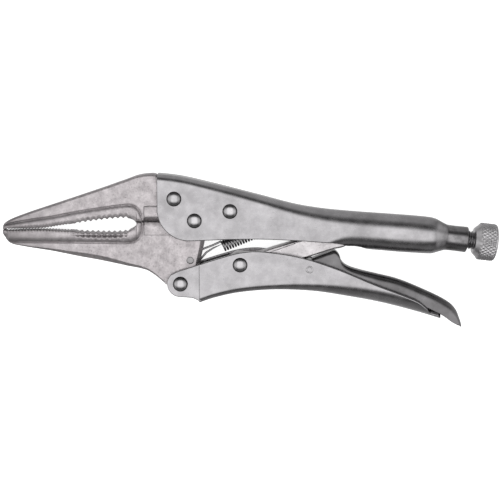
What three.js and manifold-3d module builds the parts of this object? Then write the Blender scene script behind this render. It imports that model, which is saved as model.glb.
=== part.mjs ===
// Long-nose locking pliers, lying on one side. Millimetres.
// +X runs from the jaw pivot to the adjusting knob, +Y to the back of the upper handle and +Z through the
// thickness.
// The origin is on the jaw pivot's axis, on the flat of the pivot rivet's lower head.

import * as THREE from 'three';
import { mergeVertices } from 'three/addons/utils/BufferGeometryUtils.js';
import Module from 'manifold-3d';

// ---- Driving dimensions ----

const SHEET = 2.0;               // steel sheet of the handle and the lever
const JAW_THICK = 9.0;           // forged jaws and toggle link
const SIDE_GAP = 0.25;           // on each side of a forging in its channel
const HEAD_RADIUS = 3.4;         // domed rivet heads
const HEAD_HEIGHT = 1.8;
const HEAD_FLAT = 1.6;           // radius of the flat left by the rivet set
const SHANK_RADIUS = 2.5;
const RUNNING_FIT = 0.09;        // radial clearance of a rivet's shank in its holes
const SEAT_GAP = 0.05;           // under a rivet's head, and between seated faces
const PART_GAP = 0.4;            // between two pieces that pass or meet

// Pivots, in the plane of the tool
const JAW_PIVOT = [0, 0];
const JAW_RIVET_FRONT = [-9.2, 10.0];
const JAW_RIVET_REAR = [16.2, 4.3];
const LEVER_PIVOT = [-6.6, -29.3];
const LINK_PIVOT = [20.8, -20.4];
const TOGGLE_POINT = [75.0, -3.9];    // where the link's nose turns against the screw
const RELEASE_PIVOT = [52.6, -22.5];
const SPRING_PIN_AT = [-2.1, -18.6];

// Jaws
const EYE_RADIUS = 8.4;          // moving jaw's eye round the pivot
const TAIL_EYE_RADIUS = 5.4;     // its other eye, round the lever pivot
const MOUTH_BACK = -26.6;        // rear end of the serrated mouth
const NOSE_LENGTH = 61.6;        // from there to the tips of the jaws
const CONTACT = -4.7;            // height at which the closed tips meet
const PARTING = -0.8;            // height at which the cutting edges meet
const WEB_TIP = 1.7;             // half thickness of the web at the tips
const RIM_PROUD = 0.8;           // rim of the mouth above the web, on each side
const COARSE_PITCH = 2.7;        // teeth in the mouth
const COARSE_DEPTH = 0.8;
const FINE_PITCH = 1.35;         // teeth near the tips
const FINE_DEPTH = 0.4;
const CUTTER_FRONT = -23.2;      // wire cutter behind the mouth
const CUTTER_RECESS = 0.6;
const CUTTER_EDGE = 0.9;         // half thickness of the cutting edges
const CUTTER_HEIGHT = 7;         // of its recess above the parting; it is 1 mm less below
const TAIL_BOSS_RADIUS = 6.2;    // end of the fixed jaw round its rear rivet
const TAIL_CHAMFER = 1.7;
const HOOK_SLOT = 2.4;           // slot in the moving jaw's tail for the spring's hook
const SPRING_PIN_RADIUS = 2.1;
const SPRING_PIN_PROUD = 0.3;

// Handle, lever and link
const GRIP_SWELL = 1.55;         // the grip is wider than the channel by this on each side
const LEVER_SWELL = 1.25;        // and the lever's tail by this
const CHEEK_AT = [-2.4, 5.2];    // rounded lower front corner of the handle's sides
const CHEEK_RADIUS = 14.6;
const NECK_RADIUS = 5.9;
const GRIP_START = 69;           // where the handle's sides begin to curl into the grip
const NECK_START = 116;
const NECK_LENGTH = 9.2;
const LIP_SLOT_HALF = 2.2;       // slot left under the grip between the curled walls
const TAB_AT = [46.0, 0.6];      // tab in the handle's roof that holds the spring's rear hook
const TAB_SIZE = [3.0, 1.6, 4.0];
const EAR_RADIUS = 6.1;          // lever's ears round the lever pivot
const EAR_JOGGLE = 0.35;         // step in the lever's walls behind the ears
const LEVER_START = 1.9;
const LINK_EYE_RADIUS = 5.5;
const LINK_NOSE_RADIUS = 3.4;
const LINK_NOSE_THICK = 6.4;     // thinner than the bar, to clear the grip's rounded roof

// Release lever
const RELEASE_SHEET = 1.5;
const RELEASE_EYE_RADIUS = 4.0;
const RELEASE_PIN_RADIUS = 1.8;
const RELEASE_PIN_PROUD = 0.4;   // its peened ends above the lever's sides

// Screw and knob, on an axis that falls towards the knob
const SCREW_AT = [120, -9.0];
const SCREW_ANGLE = THREE.MathUtils.degToRad(-6.5);
const SCREW_RADIUS = 4.2;
const THREAD_PITCH = 1.25;
const THREAD_DEPTH = 0.65;
const BORE_FIT = 0.25;           // radial clearance of the screw in the neck's bore
const TOGGLE_GAP = 2.8;          // between the screw's tip and the link's nose
const THREAD_SHOWS = 3.2;        // bare thread between the neck and the knob
const KNOB_LENGTH = 10.2;
const KNOB_HUB_RADIUS = 6.2;
const KNOB_RIM_WIDTH = 7.8;
const KNURL_COUNT = 36;
const KNOB_BORE_DEPTH = 6.0;
const PRESS_GAP = 0.05;          // knob's bore over the screw's spigot
const SPIGOT_RADIUS = 3.0;

// Spring
const COIL_RADIUS = 2.3;         // to the middle of the wire
const WIRE_RADIUS = 0.48;
const COIL_PITCH = 1.3;
const COIL_TURNS = 24;

// ---- Worked-out sizes ----

const CHANNEL_IN = JAW_THICK / 2 + SIDE_GAP;
const CHANNEL_OUT = CHANNEL_IN + SHEET;
const GRIP_HALF = CHANNEL_OUT + GRIP_SWELL;
const LEVER_TAIL_HALF = CHANNEL_OUT + LEVER_SWELL;
const RELEASE_HALF = CHANNEL_IN - PART_GAP;  // the release lever folds in between the lever's sides
const JAW_FRONT = MOUTH_BACK - NOSE_LENGTH;
const NECK_END = NECK_START + NECK_LENGTH;
const HEAD_TOP = CHANNEL_OUT + SEAT_GAP + HEAD_HEIGHT;
const MID_Z = HEAD_TOP;                      // height of the tool's mid-plane
const KNOB_RADIUS = HEAD_TOP;                // the tool rests on the knob and the rivet heads
const HOLE_RADIUS = SHANK_RADIUS + RUNNING_FIT;
const ROUND_STEPS = 20;                      // sides of rivets, pins and their holes
const FAR = 60;                              // reach of a cutter past the tool

const tool = new THREE.Group();
tool.position.z = MID_Z;

// Every height on the screw's axis follows from the place along the tool.
const axisY = (x) => SCREW_AT[1] + (x - SCREW_AT[0]) * Math.tan(SCREW_ANGLE);

// ---- Solids ----

const wasm = await Module();
wasm.setup();

// A closed geometry as a solid that can be joined and cut.
function solid(geometry) {
  geometry.deleteAttribute('normal');
  geometry.deleteAttribute('uv');
  const merged = mergeVertices(geometry, 1e-4);
  const corners = [];
  for (let i = 0; i < merged.index.count; i += 3) {
    const [a, b, c] = [merged.index.getX(i), merged.index.getX(i + 1), merged.index.getX(i + 2)];
    if (a !== b && b !== c && c !== a) corners.push(a, b, c);
  }
  return new wasm.Manifold(new wasm.Mesh({
    numProp: 3,
    vertProperties: merged.attributes.position.array,
    triVerts: new Uint32Array(corners),
  }));
}

// Adds a solid to the tool as a named piece with its own finish.
function piece(name, body, color, roughness, metalness) {
  const { vertProperties, triVerts } = body.getMesh();
  const geometry = new THREE.BufferGeometry();
  geometry.setAttribute('position', new THREE.BufferAttribute(new Float32Array(vertProperties), 3));
  geometry.setIndex(new THREE.BufferAttribute(new Uint32Array(triVerts), 1));
  geometry.computeVertexNormals();
  const finish = new THREE.MeshStandardMaterial({ color, roughness, metalness });
  const mesh = new THREE.Mesh(geometry, finish);
  mesh.name = name;
  tool.add(mesh);
}

const vectors = (points) => points.map(([x, y]) => new THREE.Vector2(x, y));

// An outline from a list of moves: a point draws a line, { spline } a smooth curve through points, and
// { arc: [x, y, radius, from, to, clockwise] } an arc in degrees.
function outline(start, ...moves) {
  const shape = new THREE.Shape();
  shape.moveTo(...start);
  for (const move of moves) {
    if (move.spline) {
      shape.splineThru(vectors(move.spline));
    } else if (move.arc) {
      const [x, y, radius, from, to, clockwise] = move.arc;
      shape.absarc(x, y, radius, THREE.MathUtils.degToRad(from), THREE.MathUtils.degToRad(to), clockwise);
    } else {
      shape.lineTo(...move);
    }
  }
  return shape;
}

// The point at an angle in degrees on a circle.
function onCircle([x, y], radius, degrees) {
  const angle = THREE.MathUtils.degToRad(degrees);
  return [x + radius * Math.cos(angle), y + radius * Math.sin(angle)];
}

// A plate through the tool's thickness, centred on the mid-plane.
function plate(shape, thickness) {
  const options = { depth: thickness, curveSegments: 4, bevelEnabled: false };
  const geometry = new THREE.ExtrudeGeometry(shape, options);
  geometry.translate(0, 0, -thickness / 2);
  return solid(geometry);
}

// A slab seen from above the tool's back: its outline is in X and Z, and it runs from low to high in Y.
function slab(shape, low, high) {
  const options = { depth: high - low, curveSegments: 6, bevelEnabled: false };
  const geometry = new THREE.ExtrudeGeometry(shape, options);
  geometry.rotateX(Math.PI / 2);
  geometry.translate(0, high, 0);
  return solid(geometry);
}

// A symmetrical slab outline from points of place and half width.
function tapered(points) {
  const other = points.map(([x, half]) => [x, -half]).reverse();
  return outline(points[0], ...points.slice(1), ...other);
}

function box(x0, x1, y0, y1, z0, z1) {
  const geometry = new THREE.BoxGeometry(x1 - x0, y1 - y0, z1 - z0);
  geometry.translate((x0 + x1) / 2, (y0 + y1) / 2, (z0 + z1) / 2);
  return solid(geometry);
}

// A round bar through the thickness.
function bar([x, y], radius, length, sides = ROUND_STEPS) {
  const geometry = new THREE.CylinderGeometry(radius, radius, length, sides);
  geometry.rotateX(Math.PI / 2);
  geometry.translate(x, y, 0);
  return solid(geometry);
}

const holeThrough = (at) => bar(at, HOLE_RADIUS, FAR);
const cutAll = (body, cuts) => cuts.reduce((rest, cut) => rest.subtract(cut), body);

// A turned piece about the screw's axis: its profile is radius against distance from the axis point at x.
function turned(profile, x, steps) {
  const geometry = new THREE.LatheGeometry(vectors(profile), steps);
  geometry.rotateZ(-Math.PI / 2);
  geometry.rotateZ(SCREW_ANGLE);
  geometry.translate(x, axisY(x), 0);
  return solid(geometry);
}

// ---- Pressed channels: a rounded section lofted along the tool ----

// Values at x on smooth curves through the stations, whose first column is x.
function stationAt(stations, index, part) {
  const last = stations.length - 1;
  const [a, b] = [stations[index], stations[Math.min(index + 1, last)]];
  const before = stations[Math.max(index - 1, 0)];
  const after = stations[Math.min(index + 2, last)];
  const span = b[0] - a[0];
  const [p, q] = [part * part, part * part * part];
  return a.map((value, column) => {
    if (column === 0) return value + span * part;
    const slopeA = (b[column] - before[column]) / (b[0] - before[0]);
    const slopeB = (after[column] - value) / (after[0] - a[0]);
    return (2 * q - 3 * p + 1) * value + (q - 2 * p + part) * span * slopeA
      + (3 * p - 2 * q) * b[column] + (q - p) * span * slopeB;
  });
}

// Point k of n round a section of half width w and half height h, with round corners at its top and bottom.
function sectionPoint(k, n, w, h, topRound, bottomRound) {
  const corner = Math.floor((4 * k) / n) % 4;
  const part = (k % (n / 4)) / (n / 4 - 1);
  const most = 0.985 * Math.min(w, h);
  const r = Math.min(corner < 2 ? topRound : bottomRound, most);
  const angle = ((corner + part) * Math.PI) / 2;
  const side = corner === 0 || corner === 3 ? 1 : -1;
  const level = corner < 2 ? 1 : -1;
  return [side * (w - r) + r * Math.cos(angle), level * (h - r) + r * Math.sin(angle)];
}

// Height of a channel's top (column 1) or bottom (column 2) at x.
function heightAt(stations, x, column) {
  const next = stations.findIndex((station) => station[0] > x);
  const [a, b] = [stations[next - 1], stations[next]];
  return stationAt(stations, next - 1, (x - a[0]) / (b[0] - a[0]))[column];
}

// A closed body through stations of [x, top, bottom, half width, top corner, bottom corner, tilt], made
// smaller all round by inset.
function loft(stations, inset, around = 24, between = 2) {
  const rows = (stations.length - 1) * between;
  const geometry = new THREE.CylinderGeometry(1, 1, 1, around, rows);
  const position = geometry.attributes.position;
  for (let i = 0; i < position.count; i++) {
    const [px, py, pz] = [position.getX(i), position.getY(i), position.getZ(i)];
    const reach = Math.hypot(px, pz);
    const k = Math.round((Math.atan2(px, pz) / (2 * Math.PI) + 1) * around) % around;
    const row = Math.round((0.5 - py) * rows);
    const index = Math.min(Math.floor(row / between), stations.length - 2);
    const [x, top, bottom, half, topRound, bottomRound, tilt] =
      stationAt(stations, index, (row - index * between) / between);
    const [z, up] = sectionPoint(k, around, half - inset, (top - bottom) / 2 - inset,
      Math.max(topRound - inset, 0.3), Math.max(bottomRound - inset, 0.3));
    const level = (top + bottom) / 2;
    position.setXYZ(i, x - reach * up * Math.sin(tilt), level + reach * up * Math.cos(tilt), reach * z);
  }
  return solid(geometry);
}

// ---- Upper handle: an open channel over the jaws that closes into a grip, a shoulder and a round neck ----

// The place at a part of the grip's length.
const gripAt = (part) => GRIP_START + part * (NECK_START - GRIP_START);

function roundStation(x, radius) {
  return [x, axisY(x) + radius, axisY(x) - radius, radius, radius, radius, SCREW_ANGLE];
}

const HANDLE_STATIONS = [
  [-24, 21.8, -16, CHANNEL_OUT, 2.8, 0.5, 0],
  [-8, 20.2, -16, CHANNEL_OUT, 2.8, 0.5, 0],
  [6, 17.2, -16, CHANNEL_OUT, 2.9, 0.5, 0],
  [28, 11.7, -16, CHANNEL_OUT, 3.3, 0.5, 0],
  [46, 7.1, -15, CHANNEL_OUT + 0.2 * GRIP_SWELL, 4.4, 0.6, 0],
  [58, 5.1, -13.8, CHANNEL_OUT + 0.6 * GRIP_SWELL, 6.0, 2.0, 0],
  [GRIP_START, 4.0, -13.4, GRIP_HALF - 0.2, 7.2, 5.5, 0],
  [gripAt(0.277), 3.0, -14.2, GRIP_HALF, 8.0, 7.6, -0.03],
  [gripAt(0.574), 2.0, -15.4, GRIP_HALF, 8.2, 8.2, -0.08],
  roundStation(gripAt(0.82), GRIP_HALF + 0.2),
  roundStation(gripAt(0.894), 0.1 * NECK_RADIUS + 0.9 * GRIP_HALF),
  roundStation(gripAt(0.947), 0.65 * NECK_RADIUS + 0.35 * GRIP_HALF),
  roundStation(NECK_START, NECK_RADIUS),
  roundStation(NECK_END, NECK_RADIUS),
];

const backAt = (x) => heightAt(HANDLE_STATIONS, x, 1);

function handleSideOutline() {
  const [x, y] = CHEEK_AT;
  return outline([x - CHEEK_RADIUS, 30], [x - CHEEK_RADIUS, y],
    { arc: [x, y, CHEEK_RADIUS, 180, 270, false] },
    [14, -8.8],
    { spline: [[30, -8.6], [48, -9.3], [62, -10.3], [68.4, -11.4]] },
    [69.4, -12.6], [74, -20], [160, -40], [160, 30]);
}

function upperHandle() {
  const belly = slab(tapered([[-40, CHANNEL_IN], [60, CHANNEL_IN], [66, CHANNEL_IN + 0.2],
    [gripAt(0.096), CHANNEL_IN + 0.2], [gripAt(0.255), LIP_SLOT_HALF], [gripAt(0.723), LIP_SLOT_HALF],
    [gripAt(0.766), LIP_SLOT_HALF * 0.5]]), -FAR, -7);
  const boreRadius = SCREW_RADIUS + BORE_FIT;
  const inner = HANDLE_STATIONS.slice(0, 9);
  inner.push(roundStation(gripAt(0.82), GRIP_HALF), roundStation(gripAt(0.894), boreRadius + SHEET + 1));
  const bore = turned([[0, -10], [boreRadius, -10], [boreRadius, 40], [0, 40]], gripAt(0.83), 28);
  const mouth = box(-40, -14, -FAR, 30, -CHANNEL_IN, CHANNEL_IN);
  let body = loft(HANDLE_STATIONS, 0)
    .subtract(loft(inner, SHEET))
    .subtract(belly)
    .subtract(bore)
    .subtract(mouth)
    .intersect(plate(handleSideOutline(), FAR));
  const [length, height, width] = TAB_SIZE;
  const [x, y] = TAB_AT;
  body = body.add(box(x, x + height, y - length / 2, backAt(x) - SHEET / 2, -width / 2, width / 2));
  for (const at of [JAW_PIVOT, JAW_RIVET_FRONT, JAW_RIVET_REAR]) body = body.subtract(holeThrough(at));
  return body;
}

// ---- Jaws ----

// Points given by their part of the nose's length ahead of the mouth's rear end, and their height.
const nose = (points) => points.map(([part, y]) => [MOUTH_BACK - part * NOSE_LENGTH, y]);

// Serrated mouth surface of the upper jaw, from the tips to the back, and that of the lower jaw.
const UPPER_MOUTH = nose([[1, CONTACT + 0.15], [0.705, -4.0], [0.558, -2.6], [0.412, -1.3], [0.282, -0.2],
  [0.169, 0.6], [0.071, 0.9], [0.023, 0.2], [0, -1.2]]);
const LOWER_MOUTH = nose([[1, CONTACT - 0.15], [0.705, -4.5], [0.558, -4.9], [0.412, -5.4], [0.282, -5.7],
  [0.169, -5.8], [0.071, -5.3], [0.023, -3.9], [0, -2.2]]);

// Plan of the jaws, which taper evenly from the cutter to the tips, thicker by proud.
const jawPlan = (proud) => tapered([[JAW_FRONT - 1, WEB_TIP + proud], [-24, JAW_THICK / 2 + proud],
  [40, JAW_THICK / 2 + proud]]);

// A jaw's web and the rim of its mouth in one body, with its teeth.
function jaw(web, rim, mouth) {
  const body = plate(web, JAW_THICK + 1).intersect(slab(jawPlan(0), -FAR, FAR))
    .add(plate(rim, JAW_THICK + 2 * RIM_PROUD).intersect(slab(jawPlan(RIM_PROUD), -FAR, FAR)));
  return cutAll(body, grooves(mouth));
}

// Grooves square to a mouth curve: coarse in the open mouth and fine towards the tips.
function grooves(mouth) {
  const curve = new THREE.SplineCurve(vectors(mouth));
  const cuts = [];
  const cut = (x, depth) => {
    let [low, high] = [0, 1];
    for (let i = 0; i < 24; i++) {
      const middle = (low + high) / 2;
      if (curve.getPoint(middle).x < x) low = middle;
      else high = middle;
    }
    cuts.push(bar([x, curve.getPoint(low).y], depth * 1.25, FAR, 4));
  };
  const change = MOUTH_BACK - 0.5 * NOSE_LENGTH;
  for (let x = MOUTH_BACK - 2.4; x > change; x -= COARSE_PITCH) cut(x, COARSE_DEPTH);
  for (let x = change - FINE_PITCH; x > JAW_FRONT + 2; x -= FINE_PITCH) cut(x, FINE_DEPTH);
  return cuts;
}

// The wire cutter's recess on both faces, tapering to an edge at the parting, on one side of it.
function cutterRecess(parting, height, side) {
  const floor = JAW_THICK / 2 - CUTTER_RECESS;
  const clear = JAW_THICK / 2 + 2;
  const cuts = [];
  for (const z of [1, -1]) {
    const shape = outline([z * clear, parting - side], [z * CUTTER_EDGE, parting - side],
      [z * CUTTER_EDGE, parting], [z * floor, parting + side * 2.4], [z * floor, parting + side * height],
      [z * clear, parting + side * height]);
    const geometry = new THREE.ExtrudeGeometry(shape, { depth: 16, bevelEnabled: false });
    geometry.rotateY(Math.PI / 2);
    geometry.translate(CUTTER_FRONT, 0, 0);
    cuts.push(solid(geometry));
  }
  return cuts;
}

function fixedJaw() {
  const top = PARTING + PART_GAP / 2;
  const seat = (x) => [x, backAt(x) - SHEET - PART_GAP];
  const [rx, ry] = JAW_RIVET_REAR;
  const tip = [JAW_FRONT + 0.4, -2.6];
  const mouth = { spline: UPPER_MOUTH.slice(1, -1).reverse() };
  const web = outline(UPPER_MOUTH[0], tip,
    { spline: [...nose([[0.948, -0.2], [0.818, 2.9], [0.558, 8.2], [0.266, 14.2], [0.08, 18.2]]),
      [-26, 20.3], [-21.5, 21.1], [-17.6, 20.9]] },
    seat(-17.6), seat(-8), seat(6), seat(20),
    { arc: [rx, ry, TAIL_BOSS_RADIUS, 40, -110, true] },
    { arc: [0, 0, EYE_RADIUS + PART_GAP, 10, 180, false] },
    [-EYE_RADIUS - PART_GAP, top], [MOUTH_BACK, top], mouth);
  const rim = outline(UPPER_MOUTH[0], tip,
    { spline: [...nose([[0.818, -0.5], [0.635, 1.2], [0.445, 3.5], [0.266, 5.3], [0.104, 6.7],
      [0.028, 6.7]]), [-25.4, 4.6], [-24.2, 1.6], [-23.6, top]] },
    [MOUTH_BACK, top], mouth);
  return cutAll(jaw(web, rim, UPPER_MOUTH), [...cutterRecess(top, CUTTER_HEIGHT, 1),
    holeThrough(JAW_RIVET_FRONT), holeThrough(JAW_RIVET_REAR)]);
}

// The two bevelled edges of the moving jaw's rear.
function tailChamfers() {
  return [1, -1].map((side) => {
    const edge = new THREE.BoxGeometry(2 * TAIL_CHAMFER, 12, 2 * TAIL_CHAMFER);
    edge.rotateY(Math.PI / 4);
    edge.rotateZ(-0.22);
    edge.translate(3.7, -14.6, side * (JAW_THICK / 2 + 0.4));
    return solid(edge);
  });
}

function movingJaw() {
  const top = PARTING - PART_GAP / 2;
  const [bx, by] = LEVER_PIVOT;
  const mouth = { spline: LOWER_MOUTH.slice(1, -1).reverse() };
  const web = outline(LOWER_MOUTH[0],
    { spline: [...nose([[0.99, -8.0], [0.953, -10.8], [0.851, -12.4], [0.64, -14.5], [0.445, -17.0],
      [0.266, -19.0], [0.08, -21.3]]), [-22.5, -23.1], [-18, -25.8], [-13.5, -29.6]] },
    { arc: [bx, by, TAIL_EYE_RADIUS, 190, 330, false] },
    [2.2, -20.5], [4.6, -9.6],
    { arc: [0, 0, EYE_RADIUS, -55, 178, false] },
    [-EYE_RADIUS, top], [MOUTH_BACK, top], mouth);
  const rim = outline(LOWER_MOUTH[0], [JAW_FRONT + 1, -8.6],
    { spline: [...nose([[0.956, -10.2], [0.818, -10.4], [0.542, -10.4], [0.266, -10.4], [0.055, -10.4]]),
      [-26.2, -9.0], [-24.4, -6.0], [-23.7, top]] },
    [MOUTH_BACK, top], mouth);
  const slotFront = SPRING_PIN_AT[0] - SPRING_PIN_RADIUS - 3;
  const hookSlot = box(slotFront, 20, -22.8, -11, -HOOK_SLOT / 2, HOOK_SLOT / 2);
  return cutAll(jaw(web, rim, LOWER_MOUTH), [...cutterRecess(top, CUTTER_HEIGHT - 1, -1), ...tailChamfers(),
    hookSlot, holeThrough(JAW_PIVOT), holeThrough(LEVER_PIVOT),
    bar(SPRING_PIN_AT, SPRING_PIN_RADIUS + SEAT_GAP, FAR)]);
}

// ---- Lower lever: two ears, then a channel that opens upwards ----

const LEVER_STATIONS = [
  [LEVER_START, 0, -38.4, CHANNEL_OUT, 0.5, 2.8, 0],
  [9, 0, -36.0, CHANNEL_OUT, 0.5, 2.8, 0],
  [20, 0, -33.6, CHANNEL_OUT, 0.5, 2.9, 0],
  [36, 0, -32.3, CHANNEL_OUT, 0.5, 3.2, 0],
  [54, 0, -33.1, CHANNEL_OUT + 0.15 * LEVER_SWELL, 0.5, 3.8, 0],
  [70, 0, -35.7, CHANNEL_OUT + 0.55 * LEVER_SWELL, 0.5, 5.0, 0],
  [86, 0, -38.8, CHANNEL_OUT + 0.9 * LEVER_SWELL, 0.5, 6.6, 0],
  [103, 0, -43.2, LEVER_TAIL_HALF, 0.5, 7.2, 0],
  [116, 0, -47.2, LEVER_TAIL_HALF, 0.5, 7.4, 0],
];

function leverSideOutline() {
  return outline([LEVER_START, -60], [LEVER_START, -20.3],
    { spline: [[11.7, -17.2], [20.8, -14.8], [30, -14.2], [48.1, -16.9], [64.5, -22.1], [82.2, -29.4],
      [98, -35.6], [103, -38.0], [106.8, -41.4], [109, -43.8]] },
    [130, -47], [130, -60]);
}

function earOutline() {
  const [x, y] = LEVER_PIVOT;
  return outline([LEVER_START + 1, -20.0], [-3.4, -22.1],
    { spline: [[-7.5, -23.4], [-10.6, -25.0]] },
    { arc: [x, y, EAR_RADIUS, 140, 265, false] },
    [-1.0, -35.9],
    { spline: [[0.2, -36.8], [LEVER_START + 0.3, -37.6]] },
    [LEVER_START + 1, -37.4]);
}

function lowerLever() {
  const ears = plate(earOutline(), 2 * (CHANNEL_OUT - EAR_JOGGLE));
  const tail = slab(outline([LEVER_START - 1, 20], [LEVER_START - 1, -20], [106, -20],
    { arc: [106, 0, LEVER_TAIL_HALF, -90, 90, false] }, [106, 20]), -FAR, FAR);
  const [first, ...rest] = LEVER_STATIONS;
  const openFront = [LEVER_START - 3, first[1], first[2] - 1.2, ...first.slice(3)];
  const channel = loft(LEVER_STATIONS, 0)
    .subtract(loft([openFront, ...rest], SHEET))
    .intersect(plate(leverSideOutline(), FAR))
    .intersect(tail);
  const betweenEars = box(-20, LEVER_START + 2, -FAR, 0, -CHANNEL_IN, CHANNEL_IN)
    .subtract(box(LEVER_START, LEVER_START + 5, -FAR, first[2] + SHEET + 0.8, -FAR, FAR));
  return cutAll(channel.add(ears), [betweenEars, holeThrough(LEVER_PIVOT), holeThrough(LINK_PIVOT),
    bar(RELEASE_PIVOT, RELEASE_PIN_RADIUS + RUNNING_FIT, FAR)]);
}

// ---- Toggle link: a forged bar with an eye on the lever and a nose against the screw ----

function toggleLink() {
  const [cx, cy] = LINK_PIVOT;
  const [dx, dy] = TOGGLE_POINT;
  const shape = outline(onCircle(LINK_PIVOT, LINK_EYE_RADIUS, 100),
    { spline: [[28, -15.4], [37, -12.9], [48.1, -9.5], [60, -5.6], [68, -2.6]] },
    { arc: [dx, dy, LINK_NOSE_RADIUS, 115, -75, true] },
    { spline: [[73, -9.4], [68.6, -12.5], [63.5, -13.6], [57, -15.6], [50.8, -17.6], [38, -21.6]] },
    { arc: [cx, cy, LINK_EYE_RADIUS, -60, -259, true] });
  const plan = tapered([[0, JAW_THICK / 2], [58, JAW_THICK / 2], [69, LINK_NOSE_THICK / 2],
    [90, LINK_NOSE_THICK / 2]]);
  return plate(shape, JAW_THICK).intersect(slab(plan, -FAR, FAR)).subtract(holeThrough(LINK_PIVOT));
}

// ---- Release lever: a narrow channel that opens downwards, inside the lower lever ----

const RELEASE_TOP = [[50.5, -19.2], [54, -18.0], [61.8, -15.1], [64.5, -14.4], [66.4, -16.2], [67.4, -19.0],
  [70, -21.5], [75.4, -23.4], [84, -25.4], [93.6, -27.8], [105, -32.4], [116.3, -38.0], [120.9, -42.2],
  [123.4, -48.2]];

// Points moved square to the line through them, to its right.
function beside(points, distance) {
  return points.map(([x, y], i) => {
    const [before, after] = [points[Math.max(i - 1, 0)], points[Math.min(i + 1, points.length - 1)]];
    const [dx, dy] = [after[0] - before[0], after[1] - before[1]];
    const length = Math.hypot(dx, dy);
    return [x + (dy / length) * distance, y - (dx / length) * distance];
  });
}

// Side outline of the strip's bent-up shape down to a lower level, made smaller by inset.
function releaseOutline(lower, inset) {
  const top = beside(RELEASE_TOP, inset);
  return outline([top[0][0], lower], top[0], { spline: top.slice(1) }, [top[top.length - 1][0], lower]);
}

function releaseLever() {
  const [px, py] = RELEASE_PIVOT;
  const far = -75;
  const above = (x, gap) => [x, heightAt(LEVER_STATIONS, x, 2) + SHEET + gap];
  const sideCut = outline([48, -23], [48, 0], [130, 0], [130, -54], [122.6, -50.0],
    { spline: [[118.6, -48.2], [115.2, -46.4], [114.6, -44.4]] },
    { spline: [above(105, 1.6), above(93.6, 1.8), above(82, 2.0), above(68, 3.2), above(58, 4.1)] },
    { arc: [px, py, RELEASE_EYE_RADIUS, -60, -190, true] });
  const outer = plate(releaseOutline(far, 0), 2 * RELEASE_HALF);
  const halfGap = RELEASE_HALF - RELEASE_SHEET;
  const inner = plate(releaseOutline(far, RELEASE_SHEET), 2 * halfGap);
  const front = box(40, 57, -40, RELEASE_TOP[0][1], -halfGap, halfGap);
  return outer.subtract(inner).subtract(front)
    .intersect(plate(sideCut, FAR))
    .subtract(bar(RELEASE_PIVOT, RELEASE_PIN_RADIUS + RUNNING_FIT, FAR));
}

// ---- Rivets and pins ----

// A rivet with two domed heads that sit on the channel's walls.
function rivet([x, y]) {
  const seat = CHANNEL_OUT + SEAT_GAP;
  const half = [[SHANK_RADIUS, 0], [SHANK_RADIUS, seat], [HEAD_RADIUS, seat]];
  for (let i = 1; i <= 4; i++) {
    const angle = (i * Math.PI) / 8;
    const radius = HEAD_FLAT + (HEAD_RADIUS - HEAD_FLAT) * Math.cos(angle);
    half.push([radius, seat + HEAD_HEIGHT * Math.sin(angle)]);
  }
  const lower = half.map(([r, z]) => [r, -z]).reverse();
  const geometry = new THREE.LatheGeometry(
    vectors([[0, -HEAD_TOP], ...lower, ...half.slice(1), [0, HEAD_TOP]]), ROUND_STEPS);
  geometry.rotateX(Math.PI / 2);
  geometry.translate(x, y, 0);
  return solid(geometry);
}

// ---- Screw and knob ----

// Both are measured along the axis from the neck's end.
function adjustingScrew() {
  const tip = (TOGGLE_POINT[0] + LINK_NOSE_RADIUS + TOGGLE_GAP - NECK_END) / Math.cos(SCREW_ANGLE);
  const root = SCREW_RADIUS - THREAD_DEPTH;
  const profile = [[0, tip], [root - 0.8, tip], [root, tip + 0.8]];
  const turns = Math.floor((THREAD_SHOWS - SEAT_GAP - tip - 1.5) / THREAD_PITCH);
  for (let i = 0; i < turns; i++) {
    const start = tip + 1.2 + i * THREAD_PITCH;
    profile.push([SCREW_RADIUS, start + THREAD_PITCH / 2], [root, start + THREAD_PITCH]);
  }
  const end = THREAD_SHOWS + KNOB_BORE_DEPTH;
  profile.push([root, THREAD_SHOWS - 2 * SEAT_GAP], [SPIGOT_RADIUS, THREAD_SHOWS - SEAT_GAP],
    [SPIGOT_RADIUS, end], [0, end]);
  return turned(profile, NECK_END, 12);
}

function screwKnob() {
  const bore = SPIGOT_RADIUS + PRESS_GAP;
  const bottom = THREAD_SHOWS + KNOB_BORE_DEPTH + PRESS_GAP + 0.25;
  const end = THREAD_SHOWS + KNOB_LENGTH;
  const rim = end - KNOB_RIM_WIDTH;
  return turned([[0, THREAD_SHOWS], [KNOB_HUB_RADIUS, THREAD_SHOWS], [KNOB_RADIUS - 0.9, rim - 0.6],
    [KNOB_RADIUS, rim + 0.4], [KNOB_RADIUS, end - 1.2], [KNOB_RADIUS - 0.4, end - 0.4],
    [KNOB_RADIUS - 1.3, end], [0, end]], NECK_END, KNURL_COUNT)
    .subtract(turned([[0, 0], [bore, 0], [bore, bottom], [0, bottom]], NECK_END, 20));
}

// ---- Spring: a close coil with a long hook to the jaw and a short one to the handle's tab ----

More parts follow.
